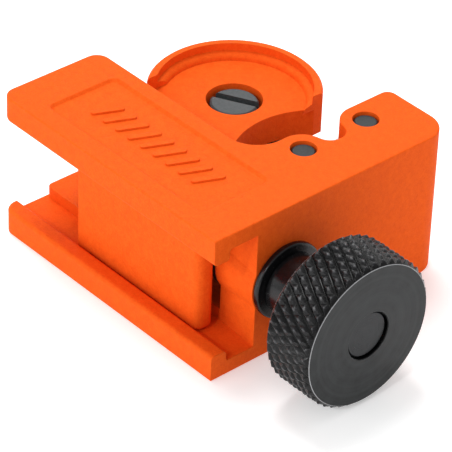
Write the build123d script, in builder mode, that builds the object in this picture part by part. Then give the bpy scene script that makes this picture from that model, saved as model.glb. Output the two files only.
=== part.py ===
"""Mini tube cutter for 3 to 16 mm tube: a die-cast frame with two rollers, and a slide on a feed screw.

Frame of reference, in millimetres:
  +Z is up and runs along the tube, the rollers and the cutting wheel's axle;
  +X runs along the feed screw towards its knob;
  +Y runs from the guide rails towards the tube throat.
The origin lies on the flat base, below the feed screw and in the plane of the two roller axles.
"""

from build123d import *
import os

os.makedirs("parts", exist_ok=True)

# Overall body
height = 20.0
mid_z = height / 2
front_x = 7.8
tail_x = -31.65
guide_y = -11.0
plate_y = 4.3
arm_y = 26.4

# Guide channel: two plates, each with a lip, a groove and a rail that face each other
skin = 2.0
rail = 3.5
lip_width = 2.3
groove_front_y = -4.45
groove_back_y = -4.05
block_back_x = 1.3
boss_radius = 5.0
tail_corner = 1.8
cast_edge = 0.2
lip_edge = 0.5
lip_root = 0.45
ledge_corner = 0.8

# Roller arm
arm_back_x = -3.15
arm_plate = 4.0
pocket_x = 4.4
pocket_y0 = 5.1
pocket_y1 = 24.1
throat_mid_y = 14.6
roller_pitch = 10.1
lobe_radius = 3.15
notch_bottom_x = 1.0
notch_root = 1.9
inner_corner = 4.2
arm_front_corner = 3.5
arm_back_corner = 1.2

# Panel on the top plate
panel_x0 = -25.6
panel_x1 = 2.2
panel_y0 = -8.1
panel_y1 = 1.8
panel_depth = 0.35
panel_corner = 0.7
rib_count = 9
rib_width = 0.75
rib_length = 4.2
rib_lean = 24
rib_height = 0.25
rib_pitch = 2.3

# Feed screw and knob
bore_radius = 4.0
running_gap = 0.05
screw_radius = bore_radius - running_gap
screw_tail_x = -25.4
stub_radius = 2.95
washer_radius = 5.0
washer_thickness = 0.9
thrust_gap = 0.05
hub_radius = 3.9
knob_radius = 9.7
knob_back_x = 15.0
knob_front_x = 22.1
knob_chamfer = 0.6
knob_bore_lip = 3.08
knob_bore_depth = 0.8
screw_recess = 0.35
screw_chamfer = 0.15
clip_radius = 4.9
stop_radius = 4.7
clip_groove_radius = 3.2
clip_thickness = 0.8
clip_mouth = 4.6
clip_x = 0.35
stop_x = -24.6

# Slide
slide_gap = 0.2
slide_low = skin + slide_gap
slide_high = height - slide_low
web_low = 4.2
web_high = height - web_low
web_x0 = -22.4
web_x1 = -10.0
nut_x0 = -14.2
nut_x1 = -7.0
tongue_x0 = -20.2
tongue_x1 = 2.0
tongue_y0 = -8.2
tongue_y1 = -5.4
tongue_corner = 1.15
tongue_edge = 0.7
head_x = -17.9
head_radius = 10.85
rim_width = 1.1
rim_cut = 7.75
head_clear_y = 5.5
throat_centre = (-1.1, 14.0)
throat_radius = 11.1
counterbore_radius = 4.95
rim_root = 0.9
head_edge = 0.3

# Cutting wheel and its axle screw
wheel_radius = 9.0
wheel_slot = 4.0
wheel_slot_y = 5.2
wheel_width = 3.6
wheel_hub_radius = 4.2
wheel_bevel = 1.7
wheel_root_half = 1.25
wheel_bevel_half = 0.95
wheel_edge_half = 0.06
axle_radius = 2.5
axle_thread_radius = 2.0
axle_head_radius = 3.05
axle_head_hole = 3.55
axle_head_high = 15.45
axle_head_low = 13.35
axle_slot_width = 1.1
axle_slot_depth = 1.0
axle_slot_angle = 28
axle_slot_offset = 0.5
axle_chamfer = 0.25
axle_end_gap = 0.3

# Rollers and their pins
roller_radius = 4.0
roller_end_gap = 0.15
roller_chamfer = 0.35
roller_relief_depth = 0.6
roller_relief_width = 1.6
pin_radius = 1.5
pin_recess = 0.3
pin_mouth_radius = 1.65
pin_mouth_depth = 0.9
pin_chamfer = 0.2

# How far a cut runs past the surface that it opens, and how close an edge must lie to be picked
overrun = 1.0
touch = 0.01

roller_ys = (throat_mid_y - roller_pitch / 2, throat_mid_y + roller_pitch / 2)
wheel_low = mid_z - wheel_width / 2
wheel_high = mid_z + wheel_width / 2
slot_low = mid_z - wheel_slot / 2
beyond = 4 * head_radius


def rectangle_between(x0, x1, y0, y1, mode=Mode.ADD):
    """Rectangle given by its limits in the sketch's own X and Y."""
    with Locations(((x0 + x1) / 2, (y0 + y1) / 2)):
        Rectangle(x1 - x0, y1 - y0, mode=mode)


# ---------------------------------------------------------------- frame
lip_inner_y = guide_y + lip_width
groove_plan = (
    (tail_x - overrun, lip_inner_y),
    (front_x + overrun, lip_inner_y),
    (front_x + overrun, groove_front_y),
    (front_x, groove_front_y),
    (block_back_x, groove_back_y),
    (tail_x - overrun, groove_back_y),
)

with BuildPart() as frame:
    # Plan of the whole casting: guide plates, and the arm with a round lobe over each roller
    with BuildSketch():
        rectangle_between(tail_x, front_x, guide_y, plate_y)
        rectangle_between(arm_back_x, front_x, plate_y, arm_y)
        rectangle_between(arm_back_x - overrun, notch_bottom_x, *roller_ys, mode=Mode.SUBTRACT)
        with Locations(*[(0, y) for y in roller_ys]):
            Circle(lobe_radius)
    extrude(amount=height)
    outline = frame.edges().filter_by(Axis.Z)
    fillet(outline.filter_by_position(Axis.X, tail_x - touch, tail_x + touch), tail_corner)
    arm_end = outline.filter_by_position(Axis.Y, arm_y - touch, arm_y + touch)
    fillet(arm_end.sort_by(Axis.X)[-1], arm_front_corner)
    fillet(arm_end.sort_by(Axis.X)[0], arm_back_corner)
    armpit = frame.edges().filter_by(Axis.Z).filter_by_position(Axis.Y, plate_y - touch, plate_y + touch)
    fillet(armpit.sort_by(Axis.X)[-1], inner_corner)
    uprights = frame.edges().filter_by(Axis.Z)
    fillet(uprights.filter_by_position(Axis.X, notch_bottom_x - touch, notch_bottom_x + touch), notch_root)
    fillet(frame.faces().sort_by(Axis.Z)[-1].edges(), cast_edge)
    fillet(frame.faces().sort_by(Axis.Z)[0].edges(), cast_edge)

    # Channel between the rails
    with BuildSketch(Plane.XY.offset(rail)):
        rectangle_between(tail_x - overrun, block_back_x, lip_inner_y, plate_y + overrun)
    extrude(amount=height - 2 * rail, mode=Mode.SUBTRACT)

    # Grooves that the slide's tongue runs in, open to the front beside the screw block
    with BuildSketch(Plane.XY.offset(skin)):
        with BuildLine():
            Polyline(*groove_plan, close=True)
        make_face()
    extrude(amount=height - 2 * skin, mode=Mode.SUBTRACT)

    # Mouth between the two lips
    with BuildSketch(Plane.XY.offset(rail)):
        rectangle_between(tail_x - overrun, front_x + overrun, guide_y - overrun, lip_inner_y + overrun)
    extrude(amount=height - 2 * rail, mode=Mode.SUBTRACT)

    # Rounded lips: their roots in the grooves, their long edges and the ledge ends beside them
    long_edges = frame.edges().filter_by(Axis.X)
    lip_inside = long_edges.filter_by_position(Axis.Y, lip_inner_y - touch, lip_inner_y + touch)
    groove_corners = lip_inside.filter_by_position(Axis.Z, skin - touch, skin + touch)
    groove_corners += lip_inside.filter_by_position(Axis.Z, height - skin - touch, height - skin + touch)
    fillet(groove_corners, lip_root)
    ledge_ends = frame.edges().filter_by(Axis.Z).filter_by_position(Axis.X, tail_x - touch, tail_x + touch)
    ledge_ends = ledge_ends.filter_by_position(Axis.Y, groove_back_y - touch, groove_back_y + touch)
    fillet(ledge_ends, ledge_corner)
    for lip_z in (rail, height - rail):
        level = frame.edges().filter_by_position(Axis.Z, lip_z - touch, lip_z + touch)
        rounded = level.filter_by_position(Axis.Y, guide_y - touch, lip_inner_y + touch)
        fillet(rounded.filter_by_position(Axis.X, tail_x - touch, front_x - overrun), lip_edge)

    # Boss round the feed screw
    with BuildSketch(Plane.YZ.offset(block_back_x)):
        with Locations((0, mid_z)):
            Circle(boss_radius)
    extrude(amount=front_x - block_back_x)
    with BuildSketch(Plane.YZ.offset(block_back_x)):
        with Locations((0, mid_z)):
            Circle(bore_radius)
    extrude(amount=front_x - block_back_x, mode=Mode.SUBTRACT)

    # Pocket that holds the rollers, open towards the wheel
    with BuildSketch(Plane.XY.offset(arm_plate)):
        rectangle_between(arm_back_x - inner_corner, pocket_x, pocket_y0, pocket_y1)
    extrude(amount=height - 2 * arm_plate, mode=Mode.SUBTRACT)

    # Roller pin holes, opened out a little at both ends
    with Locations(*[(0, y, height) for y in roller_ys]):
        CounterBoreHole(pin_radius, pin_mouth_radius, pin_mouth_depth)
    with BuildSketch():
        with Locations(*[(0, y) for y in roller_ys]):
            Circle(pin_mouth_radius)
    extrude(amount=pin_mouth_depth, mode=Mode.SUBTRACT)

    # Sunk panel with a row of slanted ribs
    with BuildSketch(Plane.XY.offset(height - panel_depth)):
        with Locations(((panel_x0 + panel_x1) / 2, (panel_y0 + panel_y1) / 2)):
            RectangleRounded(panel_x1 - panel_x0, panel_y1 - panel_y0, panel_corner)
    extrude(amount=panel_depth, taper=-45, mode=Mode.SUBTRACT)
    with BuildSketch(Plane.XY.offset(height - panel_depth)):
        with Locations(((panel_x0 + panel_x1) / 2, (panel_y0 + panel_y1) / 2)):
            with GridLocations(rib_pitch, 1, rib_count, 1):
                SlotOverall(rib_length, rib_width, rotation=90 - rib_lean)
    extrude(amount=rib_height)
frame.part.label = "frame"
export_step(frame.part, "parts/frame.step")


# ---------------------------------------------------------------- slide
rim_inside = head_radius - rim_width
head_plane = Plane(origin=(head_x, throat_mid_y, 0), x_dir=(1, 0, 0), z_dir=(0, -1, 0))
head_axis = Axis((head_x, throat_mid_y, 0), (0, 0, 1))

with BuildPart() as slide:
    # Tongue that runs in the two grooves
    with BuildSketch(Plane.XY.offset(slide_low)):
        rectangle_between(tongue_x0, tongue_x1, tongue_y0, tongue_y1)
        nose = vertices().group_by(Axis.X)[-1]
        fillet(nose, tongue_corner)
    extrude(amount=slide_high - slide_low)
    fillet(slide.faces().sort_by(Axis.Z)[-1].edges(), tongue_edge)
    fillet(slide.faces().sort_by(Axis.Z)[0].edges(), tongue_edge)

    # Web between the rails, and the round head that carries the wheel
    with BuildSketch(Plane.XY.offset(web_low)):
        with Locations((head_x, throat_mid_y)):
            Circle(head_radius)
        rectangle_between(web_x0, web_x1, tongue_y1 - overrun, throat_mid_y)
        with Locations(throat_centre):
            Circle(throat_radius, mode=Mode.SUBTRACT)
        rectangle_between(web_x1, beyond, -beyond, beyond, mode=Mode.SUBTRACT)
    extrude(amount=web_high - web_low)
    with BuildSketch(Plane.XY.offset(web_low)):
        rectangle_between(web_x1, nut_x1, tongue_y1, plate_y)
    extrude(amount=web_high - web_low)

    # Lower face of the head, and the raised rim on top of it, both clear of the guide plates
    with BuildSketch(Plane.XY.offset(slide_low)):
        with Locations((head_x, throat_mid_y)):
            Circle(head_radius)
        with Locations(throat_centre):
            Circle(throat_radius, mode=Mode.SUBTRACT)
        rectangle_between(web_x1, beyond, -beyond, beyond, mode=Mode.SUBTRACT)
        rectangle_between(-beyond, beyond, -beyond, head_clear_y, mode=Mode.SUBTRACT)
    extrude(amount=web_low - slide_low)
    with BuildSketch(head_plane):
        with BuildLine():
            Polyline(
                (rim_inside, web_high + rim_root),
                (rim_inside, slide_high),
                (head_radius - head_edge, slide_high),
                (head_radius, slide_high - head_edge),
                (head_radius, web_high),
                (rim_inside - rim_root, web_high),
            )
            RadiusArc((rim_inside, web_high + rim_root), (rim_inside - rim_root, web_high), -rim_root)
        make_face()
    revolve(axis=head_axis)
    with BuildSketch(Plane.XY.offset(web_high)):
        rectangle_between(head_x - rim_cut, beyond, tongue_y1, throat_mid_y)
        rectangle_between(web_x1, beyond, tongue_y1, beyond)
        rectangle_between(-beyond, beyond, tongue_y1, head_clear_y)
    extrude(amount=slide_high - web_high, mode=Mode.SUBTRACT)

    # Slot for the wheel, open on three sides
    with BuildSketch(Plane.XY.offset(slot_low)):
        rectangle_between(-beyond, beyond, wheel_slot_y, beyond)
    extrude(amount=wheel_slot, mode=Mode.SUBTRACT)

    # Screw thread through the web, opened out behind for the stop ring
    with BuildSketch(Plane.YZ.offset(nut_x1)):
        with Locations((0, mid_z)):
            Circle(bore_radius)
    extrude(amount=web_x0 - nut_x1, mode=Mode.SUBTRACT)
    with BuildSketch(Plane.YZ.offset(web_x0)):
        with Locations((0, mid_z)):
            Circle(counterbore_radius)
    extrude(amount=nut_x0 - web_x0, mode=Mode.SUBTRACT)

    # Stepped hole for the wheel's axle screw
    with BuildSketch(Plane.XY.offset(axle_head_low)):
        with Locations((head_x, throat_mid_y)):
            Circle(axle_head_hole)
    extrude(amount=web_high - axle_head_low, mode=Mode.SUBTRACT)
    with BuildSketch(Plane.XY.offset(slot_low)):
        with Locations((head_x, throat_mid_y)):
            Circle(axle_radius)
    extrude(amount=axle_head_low - slot_low, mode=Mode.SUBTRACT)
    with BuildSketch(Plane.XY.offset(slide_low)):
        with Locations((head_x, throat_mid_y)):
            Circle(axle_thread_radius)
    extrude(amount=slot_low - slide_low, mode=Mode.SUBTRACT)
slide.part.label = "slide"
export_step(slide.part, "parts/slide.step")


# ---------------------------------------------------------------- feed screw, knob, washer and rings
def turned_profile(steps):
    """Closed half profile, in X and radius, of a turned part given as (x, radius) steps from its tail."""
    points = [(steps[0][0], 0.0)]
    for (x, radius), (next_x, _) in zip(steps, steps[1:] + [(steps[-1][0], 0.0)]):
        points.append((x, radius))
        points.append((next_x, radius))
    points.append((steps[-1][0], 0.0))
    return [p for n, p in enumerate(points) if n == 0 or p != points[n - 1]]


axis_plane = Plane(origin=(0, 0, mid_z), x_dir=(1, 0, 0), z_dir=(0, -1, 0))
screw_axis = Axis((0, 0, mid_z), (1, 0, 0))
hub_x = front_x + thrust_gap + washer_thickness
screw_steps = [
    (screw_tail_x, clip_groove_radius),
    (stop_x + clip_thickness, screw_radius),
    (clip_x, clip_groove_radius),
    (clip_x + clip_thickness, screw_radius),
    (front_x, stub_radius),
    (knob_front_x - screw_recess, stub_radius),
]

with BuildPart() as feed_screw:
    with BuildSketch(axis_plane):
        with BuildLine():
            Polyline(*turned_profile(screw_steps), close=True)
        make_face()
    revolve(axis=screw_axis)
    chamfer(feed_screw.edges().sort_by(Axis.X)[-1], screw_chamfer)
    chamfer(feed_screw.edges().sort_by(Axis.X)[0], screw_chamfer)
feed_screw.part.label = "feed_screw"
export_step(feed_screw.part, "parts/feed_screw.step")

with BuildPart() as knob:
    with BuildSketch(Plane.YZ.offset(hub_x)):
        with Locations((0, mid_z)):
            Circle(hub_radius)
    extrude(amount=knob_back_x - hub_x)
    with BuildSketch(Plane.YZ.offset(knob_back_x)):
        with Locations((0, mid_z)):
            Circle(knob_radius)
    extrude(amount=knob_front_x - knob_back_x)
    circles = knob.edges().filter_by(GeomType.CIRCLE)
    rims = circles.filter_by(lambda edge: abs(edge.radius - knob_radius) < touch)
    chamfer(rims, knob_chamfer)
    with BuildSketch(Plane.YZ.offset(hub_x)):
        with Locations((0, mid_z)):
            Circle(stub_radius)
    extrude(amount=knob_front_x - hub_x, mode=Mode.SUBTRACT)
    with BuildSketch(Plane.YZ.offset(knob_front_x)):
        with Locations((0, mid_z)):
            Circle(knob_bore_lip)
    extrude(amount=-knob_bore_depth, mode=Mode.SUBTRACT)
knob.part.label = "knob"
export_step(knob.part, "parts/knob.step")

with BuildPart() as thrust_washer:
    with BuildSketch(Plane.YZ.offset(front_x + thrust_gap)):
        with Locations((0, mid_z)):
            Circle(washer_radius)
            Circle(stub_radius, mode=Mode.SUBTRACT)
    extrude(amount=washer_thickness)
thrust_washer.part.label = "thrust_washer"
export_step(thrust_washer.part, "parts/thrust_washer.step")


def snap_ring(x, outer_radius):
    """Flat open ring in a groove of the feed screw, with its mouth downwards."""
    with BuildPart() as ring:
        with BuildSketch(Plane.YZ.offset(x)):
            with Locations((0, mid_z)):
                Circle(outer_radius)
                Circle(clip_groove_radius, mode=Mode.SUBTRACT)
            with Locations((0, mid_z - outer_radius)):
                Rectangle(clip_mouth, 2 * outer_radius, mode=Mode.SUBTRACT)
        extrude(amount=clip_thickness)
    return ring.part


rings = (
    ("retaining_clip", clip_x, clip_radius),
    ("stop_clip", stop_x, stop_radius),
)
for ring_name, ring_x, ring_radius in rings:
    ring_part = snap_ring(ring_x, ring_radius)
    ring_part.label = ring_name
    export_step(ring_part, f"parts/{ring_name}.step")


# ---------------------------------------------------------------- cutting wheel and axle screw
wheel_half_profile = (
    (axle_radius + running_gap, wheel_low),
    (wheel_hub_radius, wheel_low),
    (wheel_hub_radius, mid_z - wheel_root_half),
    (wheel_radius - wheel_bevel, mid_z - wheel_bevel_half),
    (wheel_radius, mid_z - wheel_edge_half),
    (wheel_radius, mid_z + wheel_edge_half),
    (wheel_radius - wheel_bevel, mid_z + wheel_bevel_half),
    (wheel_hub_radius, mid_z + wheel_root_half),
    (wheel_hub_radius, wheel_high),
    (axle_radius + running_gap, wheel_high),
)

with BuildPart() as cutting_wheel:
    with BuildSketch(head_plane):
        with BuildLine():
            Polyline(*wheel_half_profile, close=True)
        make_face()
    revolve(axis=head_axis)
cutting_wheel.part.label = "cutting_wheel"
export_step(cutting_wheel.part, "parts/cutting_wheel.step")

with BuildPart() as axle_screw:
    with BuildSketch(Plane.XY.offset(axle_head_low)):
        with Locations((head_x, throat_mid_y)):
            Circle(axle_head_radius)
    extrude(amount=axle_head_high - axle_head_low)
    with BuildSketch(Plane.XY.offset(slot_low)):
        with Locations((head_x, throat_mid_y)):
            Circle(axle_radius)
    extrude(amount=axle_head_low - slot_low)
    with BuildSketch(Plane.XY.offset(slide_low + axle_end_gap)):
        with Locations((head_x, throat_mid_y)):
            Circle(axle_thread_radius)
    extrude(amount=slot_low - slide_low - axle_end_gap)
    chamfer(axle_screw.faces().sort_by(Axis.Z)[-1].edges(), axle_chamfer)
    with BuildSketch(Plane.XY.offset(axle_head_high - axle_slot_depth)):
        with Locations(Location((head_x, throat_mid_y), axle_slot_angle)):
            with Locations((0, axle_slot_offset)):
                Rectangle(3 * axle_head_radius, axle_slot_width)
    extrude(amount=axle_slot_depth, mode=Mode.SUBTRACT)
axle_screw.part.label = "axle_screw"
export_step(axle_screw.part, "parts/axle_screw.step")


# ---------------------------------------------------------------- rollers and pins
roller_low = arm_plate + roller_end_gap
roller_high = height - roller_low

for place, roller_y in zip(("inner", "outer"), roller_ys):
    with BuildPart() as roller:
        with BuildSketch(Plane.XY.offset(roller_low)):
            with Locations((0, roller_y)):
                Circle(roller_radius)
                Circle(pin_radius + running_gap, mode=Mode.SUBTRACT)
        extrude(amount=roller_high - roller_low)
        with BuildSketch(Plane.XY.offset(mid_z - roller_relief_width / 2)):
            with Locations((0, roller_y)):
                Circle(roller_radius + overrun)
                Circle(roller_radius - roller_relief_depth, mode=Mode.SUBTRACT)
        extrude(amount=roller_relief_width, mode=Mode.SUBTRACT)
        ends = roller.faces().filter_by(Axis.Z).sort_by(Axis.Z)
        chamfer(ends[0].outer_wire().edges() + ends[-1].outer_wire().edges(), roller_chamfer)
    roller.part.label = f"{place}_roller"
    export_step(roller.part, f"parts/{place}_roller.step")

    with BuildPart() as pin:
        with BuildSketch(Plane.XY.offset(pin_recess)):
            with Locations((0, roller_y)):
                Circle(pin_radius)
        extrude(amount=height - 2 * pin_recess)
        chamfer(pin.edges().filter_by(GeomType.CIRCLE), pin_chamfer)
    pin.part.label = f"{place}_roller_pin"
    export_step(pin.part, f"parts/{place}_roller_pin.step")
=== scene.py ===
"""Looks of the mini pipe cutter: its finishes, and its turned, knurled and threaded pieces.

Sizes are in metres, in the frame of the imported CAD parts: +Z is up, +X runs along the feed screw to the
knob, and +Y runs to the tube throat.
"""

import math

import bpy
from mathutils import Matrix, Vector


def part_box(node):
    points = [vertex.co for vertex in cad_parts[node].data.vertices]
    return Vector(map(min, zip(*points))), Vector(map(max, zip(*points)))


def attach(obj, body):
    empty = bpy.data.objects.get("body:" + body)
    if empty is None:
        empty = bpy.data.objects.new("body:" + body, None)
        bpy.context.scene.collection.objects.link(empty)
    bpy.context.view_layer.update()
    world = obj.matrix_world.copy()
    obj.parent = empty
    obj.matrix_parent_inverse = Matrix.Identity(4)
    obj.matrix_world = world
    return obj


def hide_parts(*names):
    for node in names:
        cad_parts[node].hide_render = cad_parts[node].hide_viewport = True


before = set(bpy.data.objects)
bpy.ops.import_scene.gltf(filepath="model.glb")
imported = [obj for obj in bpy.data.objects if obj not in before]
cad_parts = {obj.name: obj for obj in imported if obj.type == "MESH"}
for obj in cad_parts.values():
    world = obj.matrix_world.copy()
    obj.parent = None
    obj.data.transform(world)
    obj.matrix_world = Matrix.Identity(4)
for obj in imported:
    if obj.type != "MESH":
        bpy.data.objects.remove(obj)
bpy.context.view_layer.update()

MM = 0.001


# ---------------------------------------------------------------- places and sizes, from the frame
def middle(node):
    """Centre of a CAD node's box."""
    low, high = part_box(node)
    return (low + high) / 2


knob_low, knob_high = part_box("knob")
screw_low, screw_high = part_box("feed_screw")
washer_low, washer_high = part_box("thrust_washer")
wheel_low, wheel_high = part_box("cutting_wheel")
_, stop_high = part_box("stop_clip")
clip_low, clip_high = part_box("retaining_clip")
screw_axis = middle("feed_screw")
wheel_axis = middle("cutting_wheel")

knob_radius = (knob_high.z - knob_low.z) / 2
knob_chamfer = 0.60 * MM
knurl_depth = 0.50 * MM
screw_radius = (screw_high.z - screw_low.z) / 2
stub_radius = 2.95 * MM
block_front = 7.8 * MM
washer_radius = (washer_high.z - washer_low.z) / 2
wheel_radius = (wheel_high.x - wheel_low.x) / 2

# Axes that a turned piece can have
ALONG_X = 0
ALONG_Z = 2


# ---------------------------------------------------------------- mesh helpers
def finish_mesh(name, verts, faces, smooth_deg):
    """Object from vertices and faces, shaded smooth up to an angle between faces."""
    mesh = bpy.data.meshes.new(name)
    mesh.from_pydata(verts, [], faces)
    mesh.validate()
    mesh.shade_smooth()
    mesh.set_sharp_from_angle(angle=math.radians(smooth_deg))
    obj = bpy.data.objects.new(name, mesh)
    bpy.context.scene.collection.objects.link(obj)
    return obj


class Lathe:
    """Rings of vertices about an axis, added one after another along it."""

    def __init__(self, axis, centre, steps):
        self.axis = axis
        self.centre = centre
        self.steps = steps
        self.verts = []
        self.rings = []

    def add_point(self, along, radius, turn):
        """Vertex at a distance along the axis, and a radius and right-handed turn about it."""
        side = radius * math.cos(turn)
        rise = radius * math.sin(turn)
        if self.axis == ALONG_X:
            self.verts.append((along, self.centre.y + side, self.centre.z + rise))
        else:
            self.verts.append((self.centre.x + side, self.centre.y + rise, along))

    def add_ring(self, along, radius_at):
        """Ring whose radius is a function of the turn."""
        start = len(self.verts)
        self.rings.append(list(range(start, start + self.steps)))
        for k in range(self.steps):
            turn = 2 * math.pi * k / self.steps
            self.add_point(along, radius_at(turn), turn)

    def add_profile(self, profile):
        """Round rings from (along, radius) points, or a single pole where the radius is 0."""
        for along, radius in profile:
            if radius == 0.0:
                self.rings.append([len(self.verts)])
                self.add_point(along, 0.0, 0.0)
            else:
                self.add_ring(along, lambda turn: radius)

    def neighbours(self, closed):
        """Pairs of neighbouring rings; where closed, the last ring also pairs with the first."""
        pairs = list(zip(self.rings, self.rings[1:]))
        if closed:
            pairs.append((self.rings[-1], self.rings[0]))
        return pairs

    def band(self, a, b):
        """Faces between two rings, one of which may be a pole."""
        faces = []
        for k in range(self.steps):
            n = (k + 1) % self.steps
            if len(a) == 1:
                faces.append((a[0], b[n], b[k]))
            elif len(b) == 1:
                faces.append((a[k], a[n], b[0]))
            else:
                faces.append((a[k], a[n], b[n], b[k]))
        return faces

    def ridged_band(self, a, b, radius_at):
        """Triangles between two rings about X, split along the diagonal that keeps nearer to a radius."""
        faces = []
        for k in range(self.steps):
            n = (k + 1) % self.steps
            along = (self.verts[a[k]][0] + self.verts[b[k]][0]) / 2
            centre = radius_at(along, 2 * math.pi * (k + 0.5) / self.steps)
            corners = [self.verts[i] for i in (a[k], a[n], b[n], b[k])]
            radii = [math.hypot(y - self.centre.y, z - self.centre.z) for _, y, z in corners]
            if abs((radii[0] + radii[2]) / 2 - centre) <= abs((radii[1] + radii[3]) / 2 - centre):
                faces += [(a[k], a[n], b[n]), (a[k], b[n], b[k])]
            else:
                faces += [(a[k], a[n], b[k]), (a[n], b[n], b[k])]
        return faces


def turned(name, axis, centre, profile, steps=160, smooth_deg=30):
    """Turned piece with a bore, from a closed profile of (along, radius) points."""
    lathe = Lathe(axis, centre, steps)
    lathe.add_profile(profile)
    faces = []
    for a, b in lathe.neighbours(closed=True):
        faces.extend(lathe.band(a, b))
    return finish_mesh(name, lathe.verts, faces, smooth_deg)


def arc(centre_along, centre_radius, radius, start_deg, end_deg, count):
    """Points of a circular arc in a turned profile."""
    points = []
    for k in range(count + 1):
        angle = math.radians(start_deg + (end_deg - start_deg) * k / count)
        points.append((centre_along + radius * math.cos(angle), centre_radius + radius * math.sin(angle)))
    return points


def triangle_wave(value):
    """1 midway between whole numbers and 0 on them."""
    part = value % 1.0
    return 1.0 - abs(2.0 * part - 1.0)


# ---------------------------------------------------------------- material helpers
def new_material(name):
    material = bpy.data.materials.new(name)
    material.use_nodes = True
    shader = material.node_tree.nodes["Principled BSDF"]
    return material, material.node_tree, shader


def object_coords(tree):
    return tree.nodes.new("ShaderNodeTexCoord").outputs["Object"]


def add_noise(tree, coords, scale, detail, roughness):
    noise = tree.nodes.new("ShaderNodeTexNoise")
    noise.inputs["Scale"].default_value = scale
    noise.inputs["Detail"].default_value = detail
    noise.inputs["Roughness"].default_value = roughness
    tree.links.new(coords, noise.inputs["Vector"])
    return noise.outputs["Fac"]


def add_ramp(tree, factor, stops):
    ramp = tree.nodes.new("ShaderNodeValToRGB")
    elements = ramp.color_ramp.elements
    while len(elements) < len(stops):
        elements.new(0.5)
    for element, (place, colour) in zip(elements, stops):
        element.position = place
        element.color = (*colour, 1.0)
    tree.links.new(factor, ramp.inputs["Fac"])
    return ramp.outputs["Color"]


def add_range(tree, value, low, high, to_low, to_high):
    node = tree.nodes.new("ShaderNodeMapRange")
    node.inputs["From Min"].default_value = low
    node.inputs["From Max"].default_value = high
    node.inputs["To Min"].default_value = to_low
    node.inputs["To Max"].default_value = to_high
    tree.links.new(value, node.inputs["Value"])
    return node.outputs["Result"]


def add_bump(tree, height, distance, strength, normal):
    bump = tree.nodes.new("ShaderNodeBump")
    bump.inputs["Strength"].default_value = strength
    bump.inputs["Distance"].default_value = distance
    tree.links.new(height, bump.inputs["Height"])
    tree.links.new(normal, bump.inputs["Normal"])
    return bump.outputs["Normal"]


def add_bevel(tree, radius):
    bevel = tree.nodes.new("ShaderNodeBevel")
    bevel.samples = 6
    bevel.inputs["Radius"].default_value = radius
    return bevel.outputs["Normal"]


def add_average(tree, first, second):
    """Mean of two values."""
    total = tree.nodes.new("ShaderNodeMath")
    total.operation = "ADD"
    tree.links.new(first, total.inputs[0])
    tree.links.new(second, total.inputs[1])
    half = tree.nodes.new("ShaderNodeMath")
    half.operation = "MULTIPLY"
    half.inputs[1].default_value = 0.5
    tree.links.new(total.outputs["Value"], half.inputs[0])
    return half.outputs["Value"]


def axis_distance(tree, coords, axis, centre):
    """Distance of a point from an axis along X or Z through a centre."""
    offset = tree.nodes.new("ShaderNodeVectorMath")
    offset.operation = "SUBTRACT"
    offset.inputs[1].default_value = centre
    tree.links.new(coords, offset.inputs[0])
    flat = tree.nodes.new("ShaderNodeVectorMath")
    flat.operation = "MULTIPLY"
    flat.inputs[1].default_value = (0.0, 1.0, 1.0) if axis == ALONG_X else (1.0, 1.0, 0.0)
    tree.links.new(offset.outputs["Vector"], flat.inputs[0])
    length = tree.nodes.new("ShaderNodeVectorMath")
    length.operation = "LENGTH"
    tree.links.new(flat.outputs["Vector"], length.inputs[0])
    return length.outputs["Value"]


# ---------------------------------------------------------------- materials
def paint(name, deep, mid, light):
    """Orange powder coat on a die casting: sandy grain, soft mottling and rounded cast edges."""
    material, tree, shader = new_material(name)
    coords = object_coords(tree)
    mottle = add_noise(tree, coords, scale=1300.0, detail=4.0, roughness=0.6)
    grain = add_noise(tree, coords, scale=4200.0, detail=3.0, roughness=0.65)
    speckle = add_average(tree, mottle, grain)
    colour = add_ramp(tree, speckle, [(0.36, deep), (0.5, mid), (0.64, light)])
    tree.links.new(colour, shader.inputs["Base Color"])
    tree.links.new(add_range(tree, mottle, 0.3, 0.7, 0.50, 0.64), shader.inputs["Roughness"])
    normal = add_bevel(tree, 0.15 * MM)
    normal = add_bump(tree, mottle, distance=0.06 * MM, strength=0.6, normal=normal)
    normal = add_bump(tree, grain, distance=0.06 * MM, strength=0.9, normal=normal)
    tree.links.new(normal, shader.inputs["Normal"])
    shader.inputs["Specular IOR Level"].default_value = 0.03
    return material


def dark_steel(name, dark, light, smoothest, roughest, metallic):
    """Black-oxide, phosphate or gloss black steel, with a fine uneven bloom."""
    material, tree, shader = new_material(name)
    coords = object_coords(tree)
    bloom = add_noise(tree, coords, scale=3000.0, detail=3.0, roughness=0.6)
    tree.links.new(add_ramp(tree, bloom, [(0.35, dark), (0.7, light)]), shader.inputs["Base Color"])
    tree.links.new(add_range(tree, bloom, 0.3, 0.7, smoothest, roughest), shader.inputs["Roughness"])
    shader.inputs["Metallic"].default_value = metallic
    shader.inputs["Specular IOR Level"].default_value = 0.32
    edges = add_bevel(tree, 0.08 * MM)
    normal = add_bump(tree, bloom, distance=0.01 * MM, strength=0.5, normal=edges)
    tree.links.new(normal, shader.inputs["Normal"])
    return material


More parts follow.
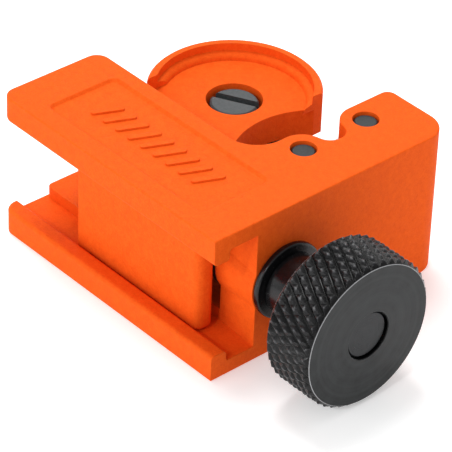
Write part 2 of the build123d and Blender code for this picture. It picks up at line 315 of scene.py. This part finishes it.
def turned_metal(
    name, axis, centre, dark, light, smoothest, roughest, metallic, marks=9000.0, depth=0.006 * MM
):
    """Lathe-turned metal: fine rings about an axis, broken up by a soft bloom."""
    material, tree, shader = new_material(name)
    coords = object_coords(tree)
    radius = axis_distance(tree, coords, axis, centre)
    along = tree.nodes.new("ShaderNodeSeparateXYZ")
    tree.links.new(coords, along.inputs["Vector"])
    line = tree.nodes.new("ShaderNodeCombineXYZ")
    tree.links.new(radius, line.inputs["X"])
    tree.links.new(along.outputs["X" if axis == ALONG_X else "Z"], line.inputs["Y"])
    rings = add_noise(tree, line.outputs["Vector"], scale=marks, detail=2.0, roughness=0.7)
    bloom = add_noise(tree, coords, scale=500.0, detail=4.0, roughness=0.6)
    mixed = add_average(tree, rings, bloom)
    tree.links.new(add_ramp(tree, mixed, [(0.35, dark), (0.65, light)]), shader.inputs["Base Color"])
    tree.links.new(add_range(tree, mixed, 0.35, 0.65, smoothest, roughest), shader.inputs["Roughness"])
    shader.inputs["Metallic"].default_value = metallic
    shader.inputs["Specular IOR Level"].default_value = 0.22
    edges = add_bevel(tree, 0.06 * MM)
    tree.links.new(add_bump(tree, rings, depth, strength=0.6, normal=edges), shader.inputs["Normal"])
    return material


def knurled_black(name):
    """Black oxide on the knob: painted shade darkens the grooves, the crests are lighter for wear and as
    painted highlights, and a thin ring at the face's edge is lighter for wear and as a painted highlight
    line.
    """
    material, tree, shader = new_material(name)
    coords = object_coords(tree)
    radius = axis_distance(tree, coords, ALONG_X, screw_axis)
    inner = knob_radius - 2 * knurl_depth
    level = add_range(tree, radius, inner, knob_radius, 0.0, 1.0)
    edge = (knob_radius - knob_chamfer - inner) / (knob_radius - inner)
    # Thin light grey ring where the chamfer meets the face: edge wear together with a painted highlight
    # line.
    worn_edge_and_highlight = (0.30, 0.30, 0.31)
    # Near black in the grooves and darker flanks below the crests are painted shade; the lighter crests
    # are wear together with painted highlights.
    groove = (0.001, 0.001, 0.001)
    flank = (0.008, 0.008, 0.009)
    crest = (0.08, 0.08, 0.084)
    stops = [(edge - 0.20, groove), (edge - 0.05, worn_edge_and_highlight), (edge + 0.05, worn_edge_and_highlight), (edge + 0.09, groove)]
    stops += [(0.62, groove), (0.90, flank), (1.0, crest)]
    tree.links.new(add_ramp(tree, level, stops), shader.inputs["Base Color"])
    bloom = add_noise(tree, coords, scale=2200.0, detail=4.0, roughness=0.65)
    tree.links.new(add_range(tree, bloom, 0.3, 0.7, 0.20, 0.36), shader.inputs["Roughness"])
    marks = add_noise(tree, coords, scale=900.0, detail=5.0, roughness=0.7)
    normal = add_bevel(tree, 0.04 * MM)
    normal = add_bump(tree, marks, distance=0.02 * MM, strength=0.5, normal=normal)
    normal = add_bump(tree, bloom, distance=0.01 * MM, strength=0.7, normal=normal)
    tree.links.new(normal, shader.inputs["Normal"])
    shader.inputs["Specular IOR Level"].default_value = 0.22
    return material


def roller_steel(node):
    return turned_metal(
        f"{node}_turned_steel", ALONG_Z, middle(node), dark=(0.34, 0.34, 0.35), light=(0.56, 0.56, 0.57),
        smoothest=0.20, roughest=0.34, metallic=1.0, marks=11000.0,
    )


orange = paint(
    "orange_powder_coat", deep=(0.79, 0.089, 0.008), mid=(0.84, 0.106, 0.010), light=(0.88, 0.124, 0.013)
)
knob_black = knurled_black("knob_black_oxide")
face_black = turned_metal(
    "knob_face_turned", ALONG_X, screw_axis, dark=(0.002, 0.003, 0.003), light=(0.022, 0.024, 0.025),
    smoothest=0.28, roughest=0.44, metallic=0.0, marks=1600.0, depth=0.02 * MM,
)
screw_black = turned_metal(
    "screw_black_oxide", ALONG_X, screw_axis, dark=(0.010, 0.011, 0.012), light=(0.024, 0.025, 0.027),
    smoothest=0.26, roughest=0.40, metallic=0.2,
)
wheel_steel = turned_metal(
    "wheel_ground_steel", ALONG_Z, wheel_axis, dark=(0.30, 0.30, 0.31), light=(0.50, 0.50, 0.51),
    smoothest=0.22, roughest=0.36, metallic=1.0, marks=12000.0,
)
washer_black = dark_steel(
    "washer_gloss_black", dark=(0.003, 0.003, 0.0035), light=(0.007, 0.007, 0.008),
    smoothest=0.18, roughest=0.28, metallic=0.0,
)
pin_dark = dark_steel(
    "pin_dark_oxide", dark=(0.012, 0.017, 0.019), light=(0.028, 0.035, 0.038),
    smoothest=0.34, roughest=0.50, metallic=0.1,
)
# The axle screw gets a lighter copy of the pins' dark oxide: painted light against the shade in the hole
# that its head sits in.
axle_painted_lighter = dark_steel(
    "axle_oxide_painted_lighter", dark=(0.046, 0.055, 0.058), light=(0.076, 0.086, 0.089),
    smoothest=0.34, roughest=0.50, metallic=0.1,
)
clip_dark = dark_steel(
    "clip_phosphate", dark=(0.060, 0.060, 0.063), light=(0.110, 0.110, 0.115),
    smoothest=0.30, roughest=0.45, metallic=0.8,
)


# ---------------------------------------------------------------- pieces
def dress(obj, material, body=None, stands_for=()):
    """Gives a piece its material and, if it is new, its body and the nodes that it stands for."""
    obj.data.materials.clear()
    obj.data.materials.append(material)
    if body:
        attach(obj, body)
    if stands_for:
        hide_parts(*stands_for)


def knurled_knob():
    """Knob with a hub, a diamond-knurled rim, chamfered edges and a bored face."""
    teeth = 44
    steps_per_tooth = 12
    helix = math.radians(30)
    crest = 0.88
    shallow = 0.30
    hub_radius = 3.9 * MM
    hub_fillet = 0.5 * MM
    hub_ease = 0.15 * MM
    bore = 3.08 * MM
    bore_ease = 0.08 * MM
    bore_depth = 0.8 * MM
    margin = 0.05 * MM
    back = knob_high.x - 7.1 * MM
    pitch = 2 * math.pi * knob_radius / teeth
    pitch_along = pitch / math.tan(helix)
    face_edge = knob_radius - knob_chamfer

    def knurl_radius(along, turn):
        """Two crossing families of grooves, one of them deeper, with flat crests and chamfered ends."""
        right = turn * teeth / (2 * math.pi) + along / pitch_along
        left = turn * teeth / (2 * math.pi) - along / pitch_along
        cross = shallow + (1.0 - shallow) * triangle_wave(right)
        height = min(triangle_wave(left), cross, crest) / crest
        cut = knob_radius - knurl_depth * (1.0 - height)
        from_end = min(along - back, knob_high.x - along)
        return min(cut, face_edge + max(from_end, 0.0))

    lathe = Lathe(ALONG_X, screw_axis, teeth * steps_per_tooth)
    lathe.add_profile([(knob_low.x, stub_radius), (knob_low.x, hub_radius - hub_ease)])
    lathe.add_profile([(knob_low.x + hub_ease, hub_radius)])
    lathe.add_profile(arc(back - hub_fillet, hub_radius + hub_fillet, hub_fillet, -90, 0, 5))
    lathe.add_profile([(back, face_edge - margin)])
    first_row = len(lathe.rings)
    rows = int((knob_high.x - back) / (pitch_along / steps_per_tooth))
    for k in range(rows + 1):
        along = back + k * (knob_high.x - back) / rows
        lathe.add_ring(along, lambda turn: knurl_radius(along, turn))
    last_row = len(lathe.rings) - 1
    lathe.add_profile([
        (knob_high.x, face_edge - margin),
        (knob_high.x, bore + bore_ease),
        (knob_high.x - bore_ease, bore),
        (knob_high.x - bore_depth, bore),
        (knob_high.x - bore_depth, stub_radius),
    ])
    faces = []
    for index, (a, b) in enumerate(lathe.neighbours(closed=True)):
        if first_row <= index < last_row:
            faces.extend(lathe.ridged_band(a, b, knurl_radius))
        else:
            faces.extend(lathe.band(a, b))
    obj = finish_mesh("knob_knurled", lathe.verts, faces, smooth_deg=24)
    dress(obj, knob_black, "feed", ["knob"])

    # The hub is glossy like the washer, and the flat face is turned
    obj.data.materials.append(washer_black)
    obj.data.materials.append(face_black)
    for polygon in obj.data.polygons:
        if polygon.center.x < back - hub_fillet / 2:
            polygon.material_index = 1
        elif polygon.normal.x > 0.99:
            polygon.material_index = 2


def threaded_screw():
    """Feed screw: thread from the stop ring, plain shank, ring grooves and a smooth stub in the knob."""
    pitch = 1.25 * MM
    thread_depth = 0.68 * MM
    flank_slope = 1.35
    samples_per_turn = 10
    groove = 3.2 * MM
    ease = 0.15 * MM
    relief = 0.25 * MM
    shank = 3.0 * MM
    root = screw_radius - thread_depth
    thread_start = stop_high.x + relief
    thread_end = clip_low.x - shank

    def thread_radius(along, turn):
        """Right-handed thread that grows from its root at the tail and fades into the shank."""
        phase = (along / pitch - turn / (2 * math.pi)) % 1.0
        radius = root + thread_depth * min(triangle_wave(phase) * flank_slope, 1.0)
        fade = max(min((along - thread_start) / pitch, (thread_end - along) / pitch, 1.0), 0.0)
        if along > thread_end - pitch:
            return screw_radius - (screw_radius - radius) * fade
        return root + (radius - root) * fade

    lathe = Lathe(ALONG_X, screw_axis, 96)
    lathe.add_profile([
        (screw_low.x, 0.0),
        (screw_low.x, groove - ease),
        (screw_low.x + ease, groove),
        (stop_high.x, groove),
    ])
    count = int((thread_end - thread_start) / pitch * samples_per_turn)
    for k in range(count + 1):
        along = thread_start + (thread_end - thread_start) * k / count
        lathe.add_ring(along, lambda turn: thread_radius(along, turn))
    lathe.add_profile([
        (clip_low.x, screw_radius),
        (clip_low.x, groove),
        (clip_high.x, groove),
        (clip_high.x, screw_radius),
        (block_front, screw_radius),
        (block_front, stub_radius),
        (screw_high.x - ease, stub_radius),
        (screw_high.x, stub_radius - ease),
        (screw_high.x, 0.0),
    ])
    faces = []
    for a, b in lathe.neighbours(closed=False):
        faces.extend(lathe.band(a, b))
    obj = finish_mesh("feed_screw_threaded", lathe.verts, faces, smooth_deg=32)
    dress(obj, screw_black, "feed", ["feed_screw"])


def round_washer():
    """Thrust washer with eased edges."""
    ease = 0.30 * MM
    low, high = washer_low.x, washer_high.x
    profile = [(low, stub_radius), (low, washer_radius - ease)]
    profile += arc(low + ease, washer_radius - ease, ease, 180, 90, 4)[1:]
    profile += arc(high - ease, washer_radius - ease, ease, 90, 0, 4)
    profile += [(high, stub_radius)]
    obj = turned("thrust_washer_turned", ALONG_X, screw_axis, profile)
    dress(obj, washer_black, "feed", ["thrust_washer"])


def ground_wheel():
    """Cutting wheel: hub, tapered web and a ground double bevel that ends in a sharp edge."""
    bore = 2.55 * MM
    hub = 4.2 * MM
    ease = 0.15 * MM
    mid_z = wheel_axis.z
    root_half = 1.3 * MM
    lower_side = [
        (mid_z - 1.25 * MM, hub + 0.25 * MM),
        (mid_z - 0.95 * MM, wheel_radius - 1.7 * MM),
        (mid_z - 0.02 * MM, wheel_radius),
    ]
    upper_side = [(2 * mid_z - along, radius) for along, radius in reversed(lower_side)]
    profile = [(wheel_low.z, bore), (wheel_low.z, hub - ease), (wheel_low.z + ease, hub)]
    profile += [(mid_z - root_half, hub)] + lower_side + upper_side + [(mid_z + root_half, hub)]
    profile += [(wheel_high.z - ease, hub), (wheel_high.z, hub - ease), (wheel_high.z, bore)]
    obj = turned("cutting_wheel_ground", ALONG_Z, wheel_axis, profile, steps=240, smooth_deg=15)
    dress(obj, wheel_steel, "wheel", ["cutting_wheel"])


def turned_roller(node):
    """Roller with chamfered ends and the groove in which the cutting wheel's edge closes."""
    low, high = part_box(node)
    centre = middle(node)
    radius = (high.x - low.x) / 2
    bore = 1.55 * MM
    ease = 0.35 * MM
    groove_half = 0.8 * MM
    groove = radius - 0.6 * MM
    mouth = 0.12 * MM
    profile = [(low.z, bore), (low.z, radius - ease), (low.z + ease, radius)]
    profile += [(centre.z - groove_half - mouth, radius), (centre.z - groove_half, radius - mouth)]
    profile += [(centre.z - groove_half, groove), (centre.z + groove_half, groove)]
    profile += [(centre.z + groove_half, radius - mouth), (centre.z + groove_half + mouth, radius)]
    profile += [(high.z - ease, radius), (high.z, radius - ease), (high.z, bore)]
    obj = turned(f"{node}_turned", ALONG_Z, centre, profile, smooth_deg=25)
    dress(obj, roller_steel(node), node, [node])


knurled_knob()
threaded_screw()
round_washer()
ground_wheel()
for roller_name in ("inner_roller", "outer_roller"):
    turned_roller(roller_name)

for node_name, node_material in (
    ("frame", orange),
    ("slide", orange),
    ("axle_screw", axle_painted_lighter),
    ("inner_roller_pin", pin_dark),
    ("outer_roller_pin", pin_dark),
    ("retaining_clip", clip_dark),
    ("stop_clip", clip_dark),
):
    dress(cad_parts[node_name], node_material)


# ---------------------------------------------------------------- floor, lights and camera
def studio_floor():
    """Plain pale sheet that curves up behind the object, turned to face the camera."""
    reach = 0.9
    back_y = 0.55
    bend = 0.25
    bend_steps = 16
    height = 0.9
    outline = [(-reach, 0.0), (back_y - bend, 0.0)]
    for k in range(1, bend_steps + 1):
        angle = math.pi / 2 * k / bend_steps
        outline.append((back_y - bend + bend * math.sin(angle), bend - bend * math.cos(angle)))
    outline.append((back_y, height))
    verts = []
    for y, z in outline:
        verts += [(-reach, y, z), (reach, y, z)]
    faces = [(2 * k, 2 * k + 1, 2 * k + 3, 2 * k + 2) for k in range(len(outline) - 1)]
    floor = finish_mesh("studio_floor", verts, faces, smooth_deg=60)
    floor.rotation_euler = (0.0, 0.0, math.radians(47.6))
    material, _, shader = new_material("floor_white")
    shader.inputs["Base Color"].default_value = (0.93, 0.93, 0.93, 1.0)
    shader.inputs["Roughness"].default_value = 0.9
    shader.inputs["Specular IOR Level"].default_value = 0.1
    shader.inputs["Emission Color"].default_value = (1.0, 1.0, 1.0, 1.0)
    shader.inputs["Emission Strength"].default_value = 0.30
    floor.data.materials.append(material)


def area_light(name, place, size, power):
    """Round white light that points at the middle of the object."""
    aim = Vector((0.0, 0.0, 0.01))
    data = bpy.data.lights.new(name, "AREA")
    data.shape = "DISK"
    data.size = size
    data.energy = power
    light = bpy.data.objects.new(name, data)
    light.location = place
    light.rotation_euler = (aim - Vector(place)).to_track_quat("-Z", "Y").to_euler()
    bpy.context.scene.collection.objects.link(light)


def studio_lights():
    """Soft key from above the tail, low front and side lights, a small glint and a pale surround."""
    area_light("key", place=(-0.22, 0.08, 0.58), size=0.30, power=2.2)
    area_light("front", place=(-0.16, -0.58, 0.20), size=0.50, power=1.2)
    area_light("side", place=(0.58, 0.05, 0.30), size=0.40, power=0.35)
    area_light("glint", place=(0.16, -0.50, 0.42), size=0.05, power=0.8)
    world = bpy.data.worlds.new("studio")
    world.use_nodes = True
    background = world.node_tree.nodes["Background"]
    background.inputs["Color"].default_value = (1.0, 1.0, 1.0, 1.0)
    background.inputs["Strength"].default_value = 0.52
    bpy.context.scene.world = world


def studio_camera():
    """Long lens, a little over a third of a right angle above the horizon, with a slight roll."""
    azimuth = math.radians(47.595)
    elevation = math.radians(35.404)
    roll = math.radians(2.156)
    data = bpy.data.cameras.new("camera")
    data.sensor_width = 36.0
    data.lens = 238.35
    data.clip_start = 0.01
    data.clip_end = 10.0
    camera = bpy.data.objects.new("camera", data)
    camera.location = (0.210291, -0.194412, 0.216522)
    back = Vector((
        math.sin(azimuth) * math.cos(elevation),
        -math.cos(azimuth) * math.cos(elevation),
        math.sin(elevation),
    ))
    right = (-back).cross(Vector((0.0, 0.0, 1.0))).normalized()
    up = right.cross(-back)
    tilted_right = math.cos(roll) * right + math.sin(roll) * up
    tilted_up = math.cos(roll) * up - math.sin(roll) * right
    turn = Matrix((tilted_right, tilted_up, back)).transposed()
    camera.rotation_mode = "QUATERNION"
    camera.rotation_quaternion = turn.to_quaternion()
    bpy.context.scene.collection.objects.link(camera)
    bpy.context.scene.camera = camera


studio_floor()
studio_lights()
studio_camera()
bpy.context.scene.view_settings.view_transform = "Standard"
